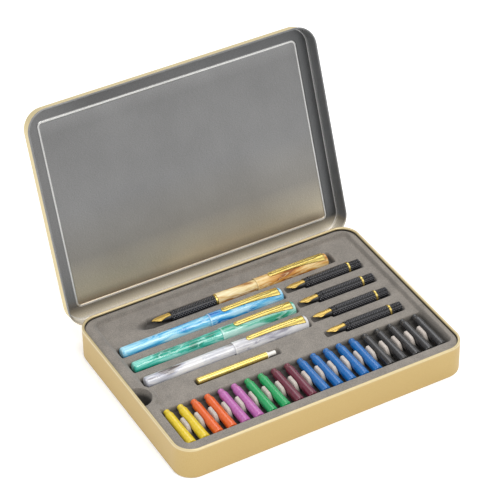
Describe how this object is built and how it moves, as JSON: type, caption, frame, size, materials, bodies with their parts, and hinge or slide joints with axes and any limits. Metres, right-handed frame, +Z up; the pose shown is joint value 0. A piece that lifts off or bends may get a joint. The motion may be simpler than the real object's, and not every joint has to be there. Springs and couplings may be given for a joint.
{
  "type": "calligraphy set box",
  "caption": "Open hinged tin with a flocked lift-out tray that holds cartridge pens, loose nib sections, a converter and a row of coloured ink cartridges.",
  "frame": {"origin": "centre of the flat underside of the base", "axes": "+X to the right as seen from the front, +Y to the hinge at the back, +Z up"},
  "size_m": [0.234, 0.2299, 0.1723],
  "materials": {
    "gold_base": "satin gold paint on drawn tinplate; bare tin inside",
    "gold_lid": "satin gold paint outside, bare brushed tin inside and on the hem",
    "gold_strap": "satin gold paint",
    "steel_wire": "bright drawn wire",
    "grey_flock": "formed plastic sheet flocked mid grey",
    "resin_amber": "polished amber and champagne marbled resin",
    "resin_blue": "polished sky blue marbled resin with white streaks",
    "resin_green": "polished teal green marbled resin with white streaks",
    "resin_grey": "polished white, grey and black marbled resin",
    "gold_plate": "polished gold plate",
    "black_grip": "fine satin texture with two smooth lines",
    "black_feed": "satin",
    "white_plastic": "smooth",
    "ink_yellow": "semi gloss",
    "ink_orange": "semi gloss",
    "ink_violet": "semi gloss",
    "ink_green": "semi gloss",
    "ink_burgundy": "semi gloss",
    "ink_blue": "semi gloss",
    "ink_black": "semi gloss"
  },
  "bodies": {
    "base": {"base_tin": "gold_base", "hinge_straps": "gold_strap", "hinge_wire": "steel_wire"},
    "lid": {"lid_tin": "gold_lid"},
    "tray": {"flocked_tray": "grey_flock"},
    "pen_1": {"pen_1_barrel": "resin_amber", "pen_1_cap": "resin_amber", "pen_1_clip": "gold_plate", "pen_1_grip": "black_grip", "pen_1_ring": "gold_plate", "pen_1_nib": "gold_plate", "pen_1_feed": "black_feed"},
    "pen_2": {"pen_2_barrel": "resin_blue", "pen_2_cap": "resin_blue", "pen_2_clip": "gold_plate"},
    "pen_3": {"pen_3_barrel": "resin_green", "pen_3_cap": "resin_green", "pen_3_clip": "gold_plate"},
    "pen_4": {"pen_4_barrel": "resin_grey", "pen_4_cap": "resin_grey", "pen_4_clip": "gold_plate"},
    "section_1": {"section_1_grip": "black_grip", "section_1_ring": "gold_plate", "section_1_nib": "gold_plate", "section_1_feed": "black_feed"},
    "section_2": {"section_2_grip": "black_grip", "section_2_ring": "gold_plate", "section_2_nib": "gold_plate", "section_2_feed": "black_feed"},
    "section_3": {"section_3_grip": "black_grip", "section_3_ring": "gold_plate", "section_3_nib": "gold_plate", "section_3_feed": "black_feed"},
    "section_4": {"section_4_grip": "black_grip", "section_4_ring": "gold_plate", "section_4_nib": "gold_plate", "section_4_feed": "black_feed"},
    "converter": {"converter_sleeve": "gold_plate", "converter_reservoir": "white_plastic"},
    "cartridge_01": {"cartridge_01": "ink_yellow"},
    "cartridge_02": {"cartridge_02": "ink_yellow"},
    "cartridge_03": {"cartridge_03": "ink_orange"},
    "cartridge_04": {"cartridge_04": "ink_orange"},
    "cartridge_05": {"cartridge_05": "ink_violet"},
    "cartridge_06": {"cartridge_06": "ink_violet"},
    "cartridge_07": {"cartridge_07": "ink_green"},
    "cartridge_08": {"cartridge_08": "ink_green"},
    "cartridge_09": {"cartridge_09": "ink_burgundy"},
    "cartridge_10": {"cartridge_10": "ink_burgundy"},
    "cartridge_11": {"cartridge_11": "ink_blue"},
    "cartridge_12": {"cartridge_12": "ink_blue"},
    "cartridge_13": {"cartridge_13": "ink_blue"},
    "cartridge_14": {"cartridge_14": "ink_blue"},
    "cartridge_15": {"cartridge_15": "ink_blue"},
    "cartridge_16": {"cartridge_16": "ink_black"},
    "cartridge_17": {"cartridge_17": "ink_black"},
    "cartridge_18": {"cartridge_18": "ink_black"},
    "cartridge_19": {"cartridge_19": "ink_black"},
    "cartridge_20": {"cartridge_20": "ink_black"}
  },
  "joints": [
    {"name": "lid_hinge", "type": "hinge", "parent": "base", "child": "lid", "pos_m": [0, 0.0828, 0.01625], "axis": [1, 0, 0], "range_deg": [0, 110]},
    {"name": "tray_lift", "type": "slide", "parent": "base", "child": "tray", "axis": [0, 0, 1], "range_m": [0, 0.08]},
    {"name": "pen_1_lift", "type": "slide", "parent": "tray", "child": "pen_1", "axis": [0, 0, 1], "range_m": [0, 0.05]},
    {"name": "pen_2_lift", "type": "slide", "parent": "tray", "child": "pen_2", "axis": [0, 0, 1], "range_m": [0, 0.05]},
    {"name": "pen_3_lift", "type": "slide", "parent": "tray", "child": "pen_3", "axis": [0, 0, 1], "range_m": [0, 0.05]},
    {"name": "pen_4_lift", "type": "slide", "parent": "tray", "child": "pen_4", "axis": [0, 0, 1], "range_m": [0, 0.05]},
    {"name": "section_1_lift", "type": "slide", "parent": "tray", "child": "section_1", "axis": [0, 0, 1], "range_m": [0, 0.05]},
    {"name": "section_2_lift", "type": "slide", "parent": "tray", "child": "section_2", "axis": [0, 0, 1], "range_m": [0, 0.05]},
    {"name": "section_3_lift", "type": "slide", "parent": "tray", "child": "section_3", "axis": [0, 0, 1], "range_m": [0, 0.05]},
    {"name": "section_4_lift", "type": "slide", "parent": "tray", "child": "section_4", "axis": [0, 0, 1], "range_m": [0, 0.05]},
    {"name": "converter_lift", "type": "slide", "parent": "tray", "child": "converter", "axis": [0, 0, 1], "range_m": [0, 0.05]},
    {"name": "cartridge_01_lift", "type": "slide", "parent": "tray", "child": "cartridge_01", "axis": [0, 0, 1], "range_m": [0, 0.05]},
    {"name": "cartridge_02_lift", "type": "slide", "parent": "tray", "child": "cartridge_02", "axis": [0, 0, 1], "range_m": [0, 0.05]},
    {"name": "cartridge_03_lift", "type": "slide", "parent": "tray", "child": "cartridge_03", "axis": [0, 0, 1], "range_m": [0, 0.05]},
    {"name": "cartridge_04_lift", "type": "slide", "parent": "tray", "child": "cartridge_04", "axis": [0, 0, 1], "range_m": [0, 0.05]},
    {"name": "cartridge_05_lift", "type": "slide", "parent": "tray", "child": "cartridge_05", "axis": [0, 0, 1], "range_m": [0, 0.05]},
    {"name": "cartridge_06_lift", "type": "slide", "parent": "tray", "child": "cartridge_06", "axis": [0, 0, 1], "range_m": [0, 0.05]},
    {"name": "cartridge_07_lift", "type": "slide", "parent": "tray", "child": "cartridge_07", "axis": [0, 0, 1], "range_m": [0, 0.05]},
    {"name": "cartridge_08_lift", "type": "slide", "parent": "tray", "child": "cartridge_08", "axis": [0, 0, 1], "range_m": [0, 0.05]},
    {"name": "cartridge_09_lift", "type": "slide", "parent": "tray", "child": "cartridge_09", "axis": [0, 0, 1], "range_m": [0, 0.05]},
    {"name": "cartridge_10_lift", "type": "slide", "parent": "tray", "child": "cartridge_10", "axis": [0, 0, 1], "range_m": [0, 0.05]},
    {"name": "cartridge_11_lift", "type": "slide", "parent": "tray", "child": "cartridge_11", "axis": [0, 0, 1], "range_m": [0, 0.05]},
    {"name": "cartridge_12_lift", "type": "slide", "parent": "tray", "child": "cartridge_12", "axis": [0, 0, 1], "range_m": [0, 0.05]},
    {"name": "cartridge_13_lift", "type": "slide", "parent": "tray", "child": "cartridge_13", "axis": [0, 0, 1], "range_m": [0, 0.05]},
    {"name": "cartridge_14_lift", "type": "slide", "parent": "tray", "child": "cartridge_14", "axis": [0, 0, 1], "range_m": [0, 0.05]},
    {"name": "cartridge_15_lift", "type": "slide", "parent": "tray", "child": "cartridge_15", "axis": [0, 0, 1], "range_m": [0, 0.05]},
    {"name": "cartridge_16_lift", "type": "slide", "parent": "tray", "child": "cartridge_16", "axis": [0, 0, 1], "range_m": [0, 0.05]},
    {"name": "cartridge_17_lift", "type": "slide", "parent": "tray", "child": "cartridge_17", "axis": [0, 0, 1], "range_m": [0, 0.05]},
    {"name": "cartridge_18_lift", "type": "slide", "parent": "tray", "child": "cartridge_18", "axis": [0, 0, 1], "range_m": [0, 0.05]},
    {"name": "cartridge_19_lift", "type": "slide", "parent": "tray", "child": "cartridge_19", "axis": [0, 0, 1], "range_m": [0, 0.05]},
    {"name": "cartridge_20_lift", "type": "slide", "parent": "tray", "child": "cartridge_20", "axis": [0, 0, 1], "range_m": [0, 0.05]}
  ]
}
